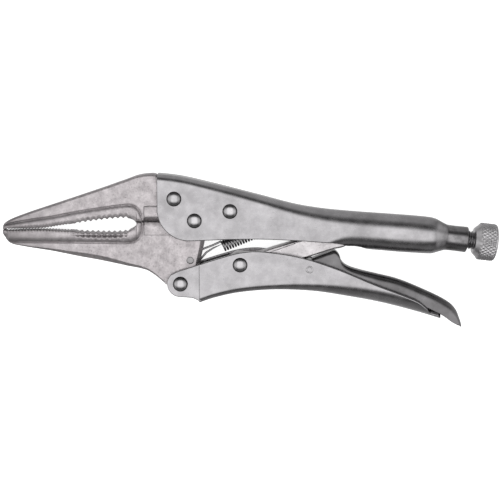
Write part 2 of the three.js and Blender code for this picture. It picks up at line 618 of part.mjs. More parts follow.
function returnSpring() {
  const [sx, sy] = SPRING_PIN_AT;
  const hook = SPRING_PIN_RADIUS + WIRE_RADIUS + SEAT_GAP * 2;
  const end = [TAB_AT[0] - WIRE_RADIUS - 0.3, TAB_AT[1]];
  const along = new THREE.Vector2(end[0] - sx, end[1] - sy).normalize();
  const length = Math.hypot(end[0] - sx, end[1] - sy);
  const place = (distance, up, z) => new THREE.Vector3(
    sx + along.x * distance - along.y * up, sy + along.y * distance + along.x * up, z);
  const coilStart = length - COIL_TURNS * COIL_PITCH - 4;
  const points = [];
  for (let i = 0; i <= 8; i++) {
    const angle = Math.PI * (1.55 - (1.35 * i) / 8) - Math.PI;
    points.push(place(-hook * Math.cos(angle), hook * Math.sin(angle), 0));
  }
  points.push(place(hook + 5, hook * 0.8, 0));
  points.push(place(coilStart - 2.5, COIL_RADIUS * 0.8, 0));
  const steps = 8;
  for (let i = 0; i <= COIL_TURNS * steps; i++) {
    const angle = Math.PI / 2 + (i * 2 * Math.PI) / steps;
    points.push(place(coilStart + (i * COIL_PITCH) / steps, COIL_RADIUS * Math.sin(angle),
      COIL_RADIUS * Math.cos(angle)));
  }
  const coilEnd = coilStart + COIL_TURNS * COIL_PITCH;
  points.push(place(coilEnd + 1.6, COIL_RADIUS * 0.7, 0));
  points.push(place(length, 0.4, 0));
  return points;
}

// A wire of the given radius through points, with a flat end at each.
function wire(points, radius, sides) {
  const geometry = new THREE.CylinderGeometry(1, 1, 1, sides, points.length - 1);
  const position = geometry.attributes.position;
  const tangents = points.map((point, i) => new THREE.Vector3()
    .subVectors(points[Math.min(i + 1, points.length - 1)], points[Math.max(i - 1, 0)]).normalize());
  const sideways = [new THREE.Vector3(0, 0, 1)];
  for (let i = 1; i < points.length; i++) {
    const turn = new THREE.Quaternion().setFromUnitVectors(tangents[i - 1], tangents[i]);
    sideways.push(sideways[i - 1].clone().applyQuaternion(turn));
  }
  for (let i = 0; i < position.count; i++) {
    const row = Math.round((0.5 - position.getY(i)) * (points.length - 1));
    const up = new THREE.Vector3().crossVectors(tangents[row], sideways[row]);
    const at = points[row].clone()
      .addScaledVector(sideways[row], radius * position.getX(i))
      .addScaledVector(up, radius * position.getZ(i));
    position.setXYZ(i, at.x, at.y, at.z);
  }
  return solid(geometry);
}

// ---- The tool ----

const PLATED = ['#c9c8cb', 0.22, 1.0];
const FORGED = ['#b5aeb0', 0.55, 1.0];
const POLISHED = ['#d4d3d6', 0.15, 1.0];
const DARK_STEEL = ['#8c8a8d', 0.35, 1.0];

piece('upper_handle', upperHandle(), ...PLATED);
piece('fixed_jaw', fixedJaw(), ...FORGED);
piece('moving_jaw', movingJaw(), ...FORGED);
piece('lower_lever', lowerLever(), ...PLATED);
piece('toggle_link', toggleLink(), ...FORGED);
piece('release_lever', releaseLever(), ...PLATED);
piece('adjusting_screw', adjustingScrew(), ...PLATED);
piece('screw_knob', screwKnob(), ...PLATED);
piece('return_spring', wire(returnSpring(), WIRE_RADIUS, 5), ...DARK_STEEL);
piece('spring_pin', bar(SPRING_PIN_AT, SPRING_PIN_RADIUS, JAW_THICK + 2 * SPRING_PIN_PROUD), ...FORGED);

for (const [name, at] of [['jaw_rivet_front', JAW_RIVET_FRONT], ['jaw_rivet_rear', JAW_RIVET_REAR],
  ['pivot_rivet', JAW_PIVOT], ['lever_rivet', LEVER_PIVOT], ['link_rivet', LINK_PIVOT]]) {
  piece(name, rivet(at), ...POLISHED);
}
const releasePin = bar(RELEASE_PIVOT, RELEASE_PIN_RADIUS, 2 * (CHANNEL_OUT + RELEASE_PIN_PROUD));
piece('release_pin', releasePin, ...POLISHED);

export default tool;
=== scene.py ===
import math

import bmesh
import bpy
import numpy as np
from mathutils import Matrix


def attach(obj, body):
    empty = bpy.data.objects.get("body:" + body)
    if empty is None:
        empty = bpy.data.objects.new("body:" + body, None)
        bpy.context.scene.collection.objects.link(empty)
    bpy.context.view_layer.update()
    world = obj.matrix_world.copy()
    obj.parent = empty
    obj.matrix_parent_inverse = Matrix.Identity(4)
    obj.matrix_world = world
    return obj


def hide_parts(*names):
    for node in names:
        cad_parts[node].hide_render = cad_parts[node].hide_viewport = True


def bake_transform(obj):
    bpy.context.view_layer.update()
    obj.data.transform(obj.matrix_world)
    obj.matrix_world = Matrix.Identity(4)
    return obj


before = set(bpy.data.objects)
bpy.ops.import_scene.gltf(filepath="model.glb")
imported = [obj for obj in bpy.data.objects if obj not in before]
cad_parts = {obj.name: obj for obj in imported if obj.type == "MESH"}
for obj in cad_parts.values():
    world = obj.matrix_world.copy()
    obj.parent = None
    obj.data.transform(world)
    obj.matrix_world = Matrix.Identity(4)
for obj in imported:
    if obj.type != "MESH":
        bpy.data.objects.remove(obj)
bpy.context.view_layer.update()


# ---- Upper handle ----
# One steel sheet, pressed into an open channel over the jaws and rolled shut into a grip and a round neck.
# It is polished and nickel plated. A small tab inside its back takes the return spring's rear hook.

MILLIMETRE = 0.001
MID_Z = 8.6              # height of the tool's mid-plane above the floor; every size is in millimetres
SHEET = 2.0
CHANNEL_IN, CHANNEL_OUT = 4.75, 6.75
NECK_RADIUS = 5.9
NECK_END = 125.2
AXIS_X, AXIS_Y, AXIS_ANGLE = 120.0, -9.0, math.radians(-6.5)
CHEEK_X, CHEEK_Y, CHEEK_RADIUS = -2.4, 5.2, 14.6


def axis_y(x):
    """Height of the adjusting screw's axis, a straight line through the neck."""
    return AXIS_Y + (x - AXIS_X) * math.tan(AXIS_ANGLE)


def curve(x, points):
    """Smooth curve through (x, y) points: on each span a cubic whose slope at a point is the slope of the
    straight line between that point's neighbours."""
    px, py = np.array(points, float).T
    slope = np.empty_like(py)
    slope[1:-1] = (py[2:] - py[:-2]) / (px[2:] - px[:-2])
    slope[0] = (py[1] - py[0]) / (px[1] - px[0])
    slope[-1] = (py[-1] - py[-2]) / (px[-1] - px[-2])
    i = np.clip(np.searchsorted(px, x, side="right") - 1, 0, len(px) - 2)
    span = px[i + 1] - px[i]
    t = np.clip((x - px[i]) / span, 0, 1)
    return ((2 * t**3 - 3 * t**2 + 1) * py[i] + (t**3 - 2 * t**2 + t) * span * slope[i]
            + (3 * t**2 - 2 * t**3) * py[i + 1] + (t**3 - t**2) * span * slope[i + 1])


def step(x, low, high):
    """0 below low, 1 above high, and a smooth S between them."""
    t = np.clip((x - low) / (high - low), 0, 1)
    return t * t * (3 - 2 * t)


def rounding(edge, radius):
    """How far a face lies below its flat at a distance from its edge, for a quarter-round edge."""
    return radius * (1 - np.sqrt(1 - (1 - np.clip(edge / radius, 0, 1)) ** 2))


def spaced(x0, x1, gap, ends=""):
    """Places from x0 to x1 about gap apart, closer together towards the low or the high end."""
    t = np.linspace(0, 1, max(2, int(round((x1 - x0) / gap)) + 1))
    if ends == "low":
        t = t * t
    elif ends == "high":
        t = 1 - (1 - t) ** 2
    return x0 + (x1 - x0) * t


def crowded(count):
    """Numbers from -1 to 1, closer together towards both ends: 1.5 t - 0.5 t cubed."""
    t = np.linspace(-1, 1, count)
    return 1.5 * t - 0.5 * t**3


class Section:
    """Half of a channel's section as arc length from the middle of its crown: flat, corner, wall, corner at
    the far side, flat. Every size may differ from place to place along the channel."""

    def __init__(self, crown, far, half, corner, far_corner):
        self.crown, self.far, self.half = crown, far, half
        self.corner, self.far_corner = corner, far_corner
        self.depth = np.abs(far - crown)
        self.flat = half - corner
        self.wall = self.depth - corner - far_corner
        self.down = np.sign(far - crown)

    def to_depth(self, depth):
        """Arc length to a depth below the crown."""
        c, f = self.corner, self.far_corner
        return (self.flat + c * np.arccos(np.clip(1 - depth / c, 0, 1))
                + np.clip(depth - c, 0, self.wall)
                + f * np.arcsin(np.clip((depth - self.depth + f) / f, 0, 1)))

    def to_slot(self, half_slot):
        """Arc length to the edge of a slot in the far side."""
        f = self.far_corner
        return (self.flat + self.corner * np.pi / 2 + self.wall
                + f * np.arccos(np.clip((half_slot - self.half + f) / f, 0, 1))
                + np.clip(self.half - f - half_slot, 0, None))

    def to_width(self, width):
        """Arc length to a distance from the middle on the crown's own side."""
        c = self.corner
        return np.clip(width, 0, self.flat) + c * np.arcsin(np.clip((width - self.flat) / c, 0, 1))

    def point(self, s):
        """(across, up) and outward normal at signed arc length s."""
        side, s = np.sign(s), np.abs(s)
        c, f = self.corner, self.far_corner
        first = np.clip(s - self.flat, 0, c * np.pi / 2)
        straight = np.clip(s - self.flat - c * np.pi / 2, 0, self.wall)
        second = np.clip(s - self.flat - c * np.pi / 2 - self.wall, 0, f * np.pi / 2)
        rest = np.clip(s - self.flat - (c + f) * np.pi / 2 - self.wall, 0, None)
        across = np.minimum(s, self.flat) + c * np.sin(first / c) - f * (1 - np.cos(second / f)) - rest
        below = c * (1 - np.cos(first / c)) + straight + f * np.sin(second / f)
        turn = first / c + second / f
        return (side * across, self.crown + self.down * below,
                side * np.sin(turn), -self.down * np.cos(turn))


def channel(x, section, end, count, front, tilt=0.0, sheet=SHEET, edge_radius=0.45):
    """A pressed sheet as closed rings: at each x its outer face runs round the section from one lip to the
    other, and its inner face runs back one sheet inside. Lips and ends are rounded, but for an end that lies
    before the front."""
    s = end[:, None] * crowded(count)[None, :]
    sizes = (section.crown, section.far, section.half, section.corner, section.far_corner)
    columns = Section(*(np.broadcast_to(v, x.shape)[:, None] for v in sizes))
    across, up, normal_across, normal_up = columns.point(s)
    lean = np.sqrt(1 + np.gradient(end, x) ** 2)[:, None]
    edge = np.minimum((end[:, None] - np.abs(s)) / lean, (x - front)[:, None])
    edge = np.minimum(edge, (x[-1] - x)[:, None])
    cut = rounding(np.maximum(edge, 0), edge_radius)
    middle = (columns.crown + columns.far) / 2
    turn = np.broadcast_to(tilt, x.shape)[:, None]

    def face(out):
        a, u = across + normal_across * out, up + normal_up * out - middle
        return np.stack([x[:, None] - u * np.sin(turn), middle + u * np.cos(turn), a], 2)

    return np.concatenate([face(-cut), face(cut - sheet)[:, ::-1]], 1)


def rounded_box(low, high, radius):
    """A block with rounded edges: rings up its height, each a rounded rectangle drawn in by the radius."""
    low, high = np.array(low, float), np.array(high, float)
    size, middle = high - low, (low + high) / 2
    rise = np.linspace(0, np.pi / 2, 5)
    bend = radius * (1 - np.cos(rise))
    inset = np.concatenate([[1.0], 1 - np.sin(rise), (1 - np.sin(rise))[::-1], [1.0]]) * radius
    level = np.concatenate([[0.0], bend, size[1] - bend[::-1], [size[1]]])
    inset[[0, -1]] = min(size[[0, 2]]) / 2 - 1e-3
    angle = np.linspace(0, 2 * np.pi, 33)[:-1] + np.pi / 32
    corners = 1.42       # a little over the square root of 2, so that the corners come out square
    across = np.clip(np.cos(angle) * corners, -1, 1)[None, :] * (size[0] / 2 - inset[:, None])
    through = np.clip(np.sin(angle) * corners, -1, 1)[None, :] * (size[2] / 2 - inset[:, None])
    return np.stack([middle[0] + across, low[1] + level[:, None] + 0 * across, middle[2] + through], 2)


def piece(name, body, nodes, slot, finish, *rings, sharp=40):
    """A piece of closed bodies. Each is an array of rings of points, joined ring to ring. A ring at either
    end that isn't a single point is closed by joining its two halves across."""
    mesh = bpy.data.meshes.new(name)
    points, faces, start = [], [], 0
    for ring in rings:
        n, m = ring.shape[:2]
        ring = ring.copy()
        ring[..., 2] += MID_Z
        index = start + np.arange(n * m).reshape(n, m)
        a, b = index[:-1], index[1:]
        quads = [np.stack([a, np.roll(a, -1, 1), np.roll(b, -1, 1), b], 2).reshape(-1, 4)]
        for end, flip in ((index[0], True), (index[-1], False)):
            flat = ring.reshape(-1, 3)[end - start]
            if np.ptp(flat, axis=0).max() > 1e-6:
                j = np.arange(m // 2 - 1)
                cap = np.stack([end[j], end[j + 1], end[m - 2 - j], end[m - 1 - j]], 1)
                quads.append(cap[:, ::-1] if flip else cap)
        quads = np.concatenate(quads)
        flat = ring.reshape(-1, 3)
        p = [flat[quads[:, k] - start] for k in range(4)]
        volume = (np.cross(p[0], p[1]) * p[2]).sum() + (np.cross(p[0], p[2]) * p[3]).sum()
        faces.append(quads[:, ::-1] if volume < 0 else quads)
        points.append(flat)
        start += n * m
    points, faces = np.concatenate(points) * MILLIMETRE, np.concatenate(faces)
    mesh.vertices.add(len(points))
    mesh.vertices.foreach_set("co", points.ravel())
    mesh.loops.add(faces.size)
    mesh.loops.foreach_set("vertex_index", faces.ravel())
    mesh.polygons.add(len(faces))
    mesh.polygons.foreach_set("loop_start", np.arange(0, faces.size, 4))
    mesh.update(calc_edges=True)
    shell = bmesh.new()
    shell.from_mesh(mesh)
    bmesh.ops.remove_doubles(shell, verts=shell.verts, dist=1e-7)
    bmesh.ops.dissolve_degenerate(shell, edges=shell.edges, dist=1e-8)
    shell.to_mesh(mesh)
    shell.free()
    mesh.shade_smooth()
    mesh.set_sharp_from_angle(angle=math.radians(sharp))
    made = bpy.data.objects.new(name, mesh)
    bpy.context.scene.collection.objects.link(made)
    made.data.materials.append(finish)
    if body:
        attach(made, body)
    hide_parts(*nodes)
    return made


class Value:
    """A shader socket that takes part in sums, so that an expression on values adds its Math nodes."""

    def __init__(self, finish, socket):
        self.finish, self.socket = finish, socket

    def __add__(self, other):
        return self.finish.math("ADD", self, other)

    def __sub__(self, other):
        return self.finish.math("SUBTRACT", self, other)

    def __rsub__(self, other):
        return self.finish.math("SUBTRACT", other, self)

    def __mul__(self, other):
        return self.finish.math("MULTIPLY", self, other)

    def __truediv__(self, other):
        return self.finish.math("DIVIDE", self, other)

    def __rtruediv__(self, other):
        return self.finish.math("DIVIDE", other, self)

    __radd__, __rmul__ = __add__, __mul__


class Finish:
    """A finish, or the studio's light, under construction, and the one method that adds a node."""

    def __init__(self, holder):
        self.holder = holder
        holder.use_nodes = True
        self.tree = holder.node_tree
        self.tree.nodes.clear()

    def node(self, kind, settings=None, *values, out=0, **sockets):
        """Adds a node of a kind. settings are its properties and a ramp's stops, values fill its sockets in
        order (None leaves one alone), sockets fill them by name, and out picks the output that comes back."""
        made = self.tree.nodes.new("ShaderNode" + kind)
        for key, value in (settings or {}).items():
            if key == "stops":
                ramp = made.color_ramp.elements
                while len(ramp) < len(value):
                    ramp.new(1.0)
                for element, (place, shade) in zip(ramp, value):
                    element.position = place
                    element.color = (shade, shade, shade, 1)
            else:
                setattr(made, key, value)
        named = [(made.inputs[key.replace("_", " ")], value) for key, value in sockets.items()]
        for socket, value in [*zip(made.inputs, values), *named]:
            if isinstance(value, Value):
                self.tree.links.new(value.socket, socket)
            elif isinstance(value, tuple):
                socket.default_value = (*value, 1) if len(socket.default_value) > len(value) else value
            elif value is not None:
                socket.default_value = value
        return Value(self, made.outputs[out]) if made.outputs else None

    def math(self, operation, *values):
        return self.node("Math", {"operation": operation}, *values)

    def place(self):
        """Place on the piece, in metres."""
        return self.node("TexCoord", out=3)

    def parts(self, vector):
        """The three numbers of a vector."""
        return [Value(self, part) for part in self.node("SeparateXYZ", None, vector).socket.node.outputs]

    def noise(self, place, scale, detail=4.0, roughness=0.55):
        return self.node("TexNoise", None, Vector=place, Scale=scale, Detail=detail, Roughness=roughness)

    def ramp(self, value, *stops):
        """Grey of a value, by (value, grey) stops."""
        return self.node("ValToRGB", {"stops": stops}, value)

    def blend(self, part, a, b):
        """Colour a where part is 0 and b where it is 1."""
        return self.node("Mix", {"data_type": "RGBA"}, part, None, None, None, None, None, a, b, out=2)

    def done(self, **sockets):
        self.node("OutputMaterial", None, self.node("BsdfPrincipled", None, **sockets))
        return self.holder


# The first colour darkens the specks of soil. The second and third are painted shade: patches darker from the
# neck back, and a ring round the foot of a head or a pin's end.
GRIME, NECK_SHADE, SHADE = (0.08, 0.077, 0.077), (0.05, 0.048, 0.048), (0.03, 0.028, 0.029)
NECK_SHADE_FADE = 10.0
FOOT_SHADE_FADE = 0.75


def plated(name, light, dark, gloss, cloud_size, grain=0.012, rim=None, neck_shade_from=None):
    """Polished plate over ground steel: soft clouds from the polishing wheel, fine specks and faint hair
    lines along the piece. rim is the height above the mid-plane below which the plate is painted dark, a
    painted shade round the foot of a head or a pin's end. The last argument is the place along the tool from
    which the plate is painted darker in patches, a painted shade over the neck."""
    f = Finish(bpy.data.materials.new(name))
    place = f.place()
    stretched = f.node("Mapping", None, Vector=place, Scale=(0.12, 1.0, 1.0))
    clouds = f.ramp(f.noise(place, 1000 / cloud_size, 6.0, 0.6), (0.3, 0.0), (0.72, 1.0))
    patches = f.ramp(f.noise(place, 260.0, 3.0), (0.4, 0.0), (0.62, 1.0))
    lines = f.noise(stretched, 2600.0, 3.0, 0.7)
    soil = f.ramp(f.noise(place, 2300.0, 2.0, 0.5), (0.27, 1.0), (0.34, 0.0)) * patches
    tone = f.blend(clouds * 0.7 + patches * 0.3, dark, light)
    tone = f.blend(soil * 0.5, tone, GRIME)
    # Painted shade: the plate is darker in patches from the neck back.
    if neck_shade_from is not None:
        behind = (f.parts(place)[0] / MILLIMETRE - neck_shade_from) / NECK_SHADE_FADE
        tone = f.blend(f.ramp(behind, (0.0, 0.0), (0.6, 1.0)) * (0.35 + patches * 0.4), tone, NECK_SHADE)
    # Painted shade: a dark ring round the foot of a head or a pin's end, fading out upwards.
    if rim is not None:
        above = f.math("ABSOLUTE", f.parts(place)[2] - MID_Z * MILLIMETRE) / MILLIMETRE - rim
        tone = f.blend(f.ramp(above, (0.0, 1.0), (FOOT_SHADE_FADE, 0.0)), tone, SHADE)
    rough = gloss + clouds * -0.05 + patches * 0.05 + lines * 0.10 + soil * 0.2
    height = lines * 0.4 + f.noise(place, 900.0, 3.0) * 0.6
    bump = f.node("Bump", None, Strength=0.35, Distance=grain * MILLIMETRE, Height=height)
    return f.done(Base_Color=tone, Metallic=1.0, Roughness=rough, Normal=bump)


def round_station(x, radius):
    """A row of HANDLE_STATIONS where the section is a circle on the screw's axis."""
    return [x, axis_y(x) + radius, axis_y(x) - radius, radius, radius, radius, AXIS_ANGLE]


# place along, back, far side, half width, corner at the back, corner at the far side, lean
HANDLE_STATIONS = [
    [-24, 21.7, -16, 6.75, 3.6, 0.5, 0],
    [-8, 20.2, -16, 6.75, 3.9, 0.5, 0],
    [6, 17.2, -16, 6.75, 4.2, 0.5, 0],
    [28, 11.7, -16, 6.75, 5.0, 0.5, 0],
    [46, 7.1, -15, 7.06, 6.2, 0.6, 0],
    [58, 5.1, -13.8, 7.68, 7.2, 3.6, 0],
    [69, 4.0, -13.4, 8.1, 7.9, 7.4, 0],
    [82, 3.0, -14.2, 8.3, 8.2, 8.1, -0.03],
    [96, 2.0, -15.4, 8.3, 8.2, 8.2, -0.08],
    round_station(106.5, 8.5),
    round_station(110, 8.1),
    round_station(113, 6.9),
    round_station(116, NECK_RADIUS),
    round_station(NECK_END, NECK_RADIUS),
]


def handle_station(x, column):
    return curve(x, [(row[0], row[column]) for row in HANDLE_STATIONS])


def back_at(x):
    return handle_station(x, 1)


FRONT = CHEEK_X - CHEEK_RADIUS
x = np.unique(np.concatenate([
    FRONT + (CHEEK_RADIUS * (1 - np.cos(np.linspace(0, np.pi / 2, 34)))),
    FRONT + np.array([0.03, 0.08, 0.16, 0.3]),
    spaced(CHEEK_X, 66, 1.1), spaced(66, 71, 0.2), spaced(71, 82, 0.45), spaced(82, 102, 0.9),
    spaced(102, 106, 0.2), spaced(106, 118, 0.3), spaced(118, NECK_END - 0.5, 0.8),
    NECK_END - np.array([0.4, 0.25, 0.12, 0.04, 0.0]),
]))
shape = Section(*(handle_station(x, k) for k in (1, 2, 3)),
                np.minimum(handle_station(x, 4), handle_station(x, 3) * 0.99),
                np.minimum(handle_station(x, 5), handle_station(x, 3) * 0.99))
cheek = CHEEK_Y - np.sqrt(np.clip(CHEEK_RADIUS**2 - np.minimum(x - CHEEK_X, 0) ** 2, 0, None))
side = curve(x, [(-2.4, -9.4), (6, -9.1), (14, -8.8), (30, -8.6), (48, -9.3), (62, -10.3), (68.4, -11.4)])
lower_edge = np.where(x < CHEEK_X, cheek, side)
slot = np.interp(x, [60, 73.5, 76, 79, 82, 103, 104.6, 105.0, 130],
                 [4.95, 4.95, 4.5, 2.9, 2.2, 2.2, 1.3, 0.04, 0.04])
open_end, shut_end = shape.to_depth(shape.crown - lower_edge), shape.to_slot(slot)
turn_in = step(x, 67.6, 70.4)
end = open_end * (1 - turn_in) + shut_end * turn_in
handle = channel(x, shape, end, 150, FRONT, handle_station(x, 6))

TAB_X, TAB_Y = 46.0, 0.6
tab = rounded_box((TAB_X, TAB_Y - 1.5, -2.0), (TAB_X + 1.6, back_at(TAB_X) - SHEET / 2, 2.0), 0.3)
# From here back the handle's plate is painted darker in patches: painted shade over the neck.
NECK_SHADE_FROM = 110
bright_plate = plated("polished_plate", (0.355, 0.346, 0.356), (0.21, 0.204, 0.21), 0.2, 14, neck_shade_from=NECK_SHADE_FROM)
piece("upper_handle_shell", "handle", ["upper_handle"], "plated_sheet", bright_plate, handle, tab)


# ---- Fixed jaw ----
# A drop-forged jaw, sandblasted after hardening and riveted into the front of the handle. A raised rim runs
# along its ground teeth, and a wire cutter is ground behind them.

JAW_HALF = 4.5
WEB_TIP = 1.7
RIM_PROUD = 0.8
RIM_LINE, RIM_LINE_END = 0.42, -20
FAR = 9.0
JAW_FRONT = -88.2
MOUTH_BACK = -26.6
PARTING_UPPER, PARTING_LOWER = -0.6, -1.0
CUTTER_FRONT, CUTTER_LENGTH = -23.2, 16.0
COARSE_PITCH, COARSE_DEPTH = 2.5, 0.8
FINE_PITCH, FINE_DEPTH = 1.4, 0.4
EYE_CLEAR = 8.8
BOSS_X, BOSS_Y, BOSS_RADIUS = 16.2, 4.3, 6.2
GRIND_HEIGHT_UPPER, GRIND_HEIGHT_LOWER = 7, 6
GRIND_DEPTH_UPPER, GRIND_DEPTH_LOWER = 3.4, 1.5
TEETH_CHANGE = MOUTH_BACK - 30.8


def slab(x, low, high, half, count, radius=0.3, low_cut=0.0, high_cut=0.0):
    """A plate as closed rings: at each x its upper face runs from the low edge to the high edge at the half
    thickness there, a function of x, y and the distance from the edge, and its lower face runs back. Its
    edges are rounded. low_cut and high_cut are the teeth's depths, left out of the outline's slope."""
    t = (crowded(count)[None, :] + 1) / 2
    y = low[:, None] + (high - low)[:, None] * t
    low_slope, high_slope = np.gradient(low - low_cut, x), np.gradient(high + high_cut, x)
    edge = np.minimum((y - low[:, None]) / np.sqrt(1 + low_slope**2)[:, None],
                      (high[:, None] - y) / np.sqrt(1 + high_slope**2)[:, None])
    edge = np.minimum(edge, np.minimum(x - x[0], x[-1] - x)[:, None])
    along = x[:, None] + 0 * y
    z = half(along, y, edge) - rounding(np.maximum(edge, 0), radius)
    upper = np.stack([along, y, z], 2)
    lower = np.stack([along, y, -z], 2)[:, ::-1]
    return np.concatenate([upper, lower], 1)


def grooves(x):
    """Depth of the grooves between the teeth: the size of a sine to the power 1.3, coarse in the mouth and
    fine at the tips. They fade in over a few millimetres where one kind follows the other."""
    coarse = COARSE_DEPTH * np.abs(np.sin(np.pi * x / COARSE_PITCH)) ** 1.3
    fine = FINE_DEPTH * np.abs(np.sin(np.pi * x / FINE_PITCH)) ** 1.3
    in_mouth = step(x, TEETH_CHANGE, TEETH_CHANGE + 6) * (1 - step(x, MOUTH_BACK - 5.0, MOUTH_BACK - 2.6))
    at_tip = step(x, JAW_FRONT + 0.6, JAW_FRONT + 2.0) * (1 - step(x, TEETH_CHANGE - 1, TEETH_CHANGE + 1))
    return coarse * in_mouth + fine * at_tip


def jaw_half(x):
    """Half thickness of a jaw, which tapers evenly from the cutter to the tips."""
    return np.interp(x, [JAW_FRONT - 1, -24, 40], [WEB_TIP, JAW_HALF, JAW_HALF])


def on_rim(x, y, line, way):
    """Distance from a rim's outline, positive on the rim: the distance along Y, made square to the outline
    by its slope."""
    slope = np.gradient(curve(x[:, 0], line), x[:, 0])[:, None]
    return way * (curve(x, line) - y) / np.sqrt(1 + slope**2)


def bead(x, on, width, power, line_depth):
    """Rise of a rim from 0 to 1: one less an exponential of the distance in widths to a power, with a shallow
    rounded line cut along the outline."""
    line = line_depth * np.exp(-((on / RIM_LINE) ** 2)) * (x < RIM_LINE_END)
    return 1 - np.exp(-((np.clip(on, 0, None) / width) ** power)) - line


def worn(x, on, edge, depth, width):
    """Drop of a rim towards its teeth: a depth times the part of the width left, to the power 1.4."""
    to_mouth = np.where(on > 0, edge, FAR)
    return depth * np.clip(1 - to_mouth / width, 0, 1) ** 1.4 * (x < MOUTH_BACK + 2)


def ground_cutter(x, y, half, parting, way, height, depth):
    """The half thickness where the cutter is ground: a shallow square recess whose floor falls in a smooth S
    by a depth across the parting. way is the side of the parting that the jaw is on."""
    rise = (y - parting) * way
    floor = JAW_HALF - 0.35 - depth * (1 - step(rise, -2.6, 2.6))
    inside = (step(x, CUTTER_FRONT - 0.1, CUTTER_FRONT + 0.35)
              * (1 - step(x, CUTTER_FRONT + CUTTER_LENGTH - 0.35, CUTTER_FRONT + CUTTER_LENGTH + 0.1))
              * (1 - step(rise, height - 0.35, height + 0.1)))
    return half + (np.minimum(half, floor) - half) * inside


def forged(name, light, dark, rough=0.48, grain=0.05):
    """Blasted and plated forging: a fine even grain, soft clouds of tone and small darker pits. It is darker
    towards the jaws' tips from handling."""
    f = Finish(bpy.data.materials.new(name))
    place = f.place()
    clouds = f.ramp(f.noise(place, 240.0, 6.0, 0.65), (0.34, 0.0), (0.68, 1.0))
    mottle = f.ramp(f.noise(place, 900.0, 4.0, 0.6), (0.36, 0.0), (0.66, 1.0))
    pits = f.ramp(f.noise(place, 1700.0, 2.0, 0.5), (0.28, 1.0), (0.37, 0.0))
    tone = f.blend(clouds * 0.55 + mottle * 0.45, dark, light)
    tone = f.blend(pits * 0.55, tone, (0.09, 0.083, 0.085))
    handled = f.ramp(f.parts(place)[0] * -10 + mottle * 0.12, (0.66, 0.0), (0.96, 1.0))
    tone = f.blend(handled * 0.5, tone, (0.1, 0.093, 0.096))
    height = f.noise(place, 3400.0, 3.0, 0.65) * 0.75 + mottle * 0.5 - pits * 0.4
    bump = f.node("Bump", None, Strength=0.55, Distance=grain * MILLIMETRE, Height=height)
    rough = rough + mottle * 0.1 - clouds * 0.08
    return f.done(Base_Color=tone, Metallic=1.0, Roughness=rough, Normal=bump)


UPPER_MOUTH = [(JAW_FRONT, -4.55), (-70, -4.0), (-61, -2.6), (-52, -1.3), (-44, -0.2), (-37, 0.6), (-31, 0.9),
               (-28, 0.2), (MOUTH_BACK, -1.2)]
jaw_x = np.unique(np.concatenate([
    JAW_FRONT + np.array([0, 0.05, 0.12, 0.25, 0.4]), spaced(JAW_FRONT + 0.4, TEETH_CHANGE, FINE_PITCH / 8),
    spaced(TEETH_CHANGE, -29, COARSE_PITCH / 12), spaced(-29, -22.8, 0.12), spaced(-22.8, -7, 0.45),
]))
x = np.unique(np.concatenate([jaw_x, CUTTER_FRONT + CUTTER_LENGTH + np.linspace(-0.4, 0.2, 5),
                              -EYE_CLEAR + np.linspace(-0.3, 1.6, 10), spaced(-7, 22.3, 0.6),
                              22.4 - np.array([0.3, 0.12, 0.03, 0])]))
top = curve(x, [(JAW_FRONT, -2.9), (-87.6, -1.9), (-85, -0.2), (-77, 2.9), (-61, 8.2), (-43, 14.2),
                (-31.5, 18.2), (-26, 20.15), (-21.5, 20.88), (-17.6, 20.75), (-17.1, 19.6), (-16.6, 18.6),
                (-8, 17.8), (6, 14.8), (20, 11.2)])
boss = np.sqrt(np.clip(BOSS_RADIUS**2 - (x - BOSS_X) ** 2, 0, None))
top = np.minimum(top, np.where(x > 18, BOSS_Y + boss, np.inf))
mouth = curve(x, UPPER_MOUTH) + grooves(x)
eye = np.sqrt(np.clip(EYE_CLEAR**2 - x**2, 0, None))
low = np.where(x < MOUTH_BACK, mouth, PARTING_UPPER)
low = np.where(x > -EYE_CLEAR, np.maximum(eye, PARTING_UPPER), low)
low = np.where(x > 8.6, np.maximum(np.interp(x, [8.6, 14.1], [1.55, -1.5]), BOSS_Y - boss), low)
upper_rim = [(-90, -3.4), (-87.8, -2.6), (-77, -0.5), (-65.7, 1.2), (-54, 3.5), (-43, 5.3), (-33, 6.7),
             (-28.3, 6.7), (-25.4, 4.6), (-24.2, 1.6), (-23.6, -0.6), (-23.0, -5.0), (40, -5.0)]


def fixed_half(x, y, edge):
    """Half thickness of the fixed jaw: the taper, the rim round the mouth, a narrow bevel along the back and
    the ground cutter."""
    on = on_rim(x, y, upper_rim, 1)
    half = jaw_half(x) + RIM_PROUD * bead(x, on, 0.95, 1.5, 0.5) - worn(x, on, edge, 0.62, 1.9)
    bevel = 0.55 * (1 - np.clip((edge - 0.05) / 0.8, 0, 1)) * (on < 0) * (x < -17)
    return ground_cutter(x, y, half - bevel, PARTING_UPPER, 1, GRIND_HEIGHT_UPPER, GRIND_DEPTH_UPPER)


blasted = forged("blasted_forging", (0.52, 0.488, 0.498), (0.27, 0.252, 0.258))
piece("fixed_jaw_forging", "handle", ["fixed_jaw"], "forged_steel", blasted,
      slab(x, low, top, fixed_half, 84, low_cut=grooves(x) * (x < MOUTH_BACK)))


# ---- Moving jaw ----
# The other forging turns on the pivot rivet. Its tail carries the lever pivot, the slot for the return
# spring's hook and the pin that holds it. A broad rounded bead runs along its teeth, and its belly is
# bevelled.

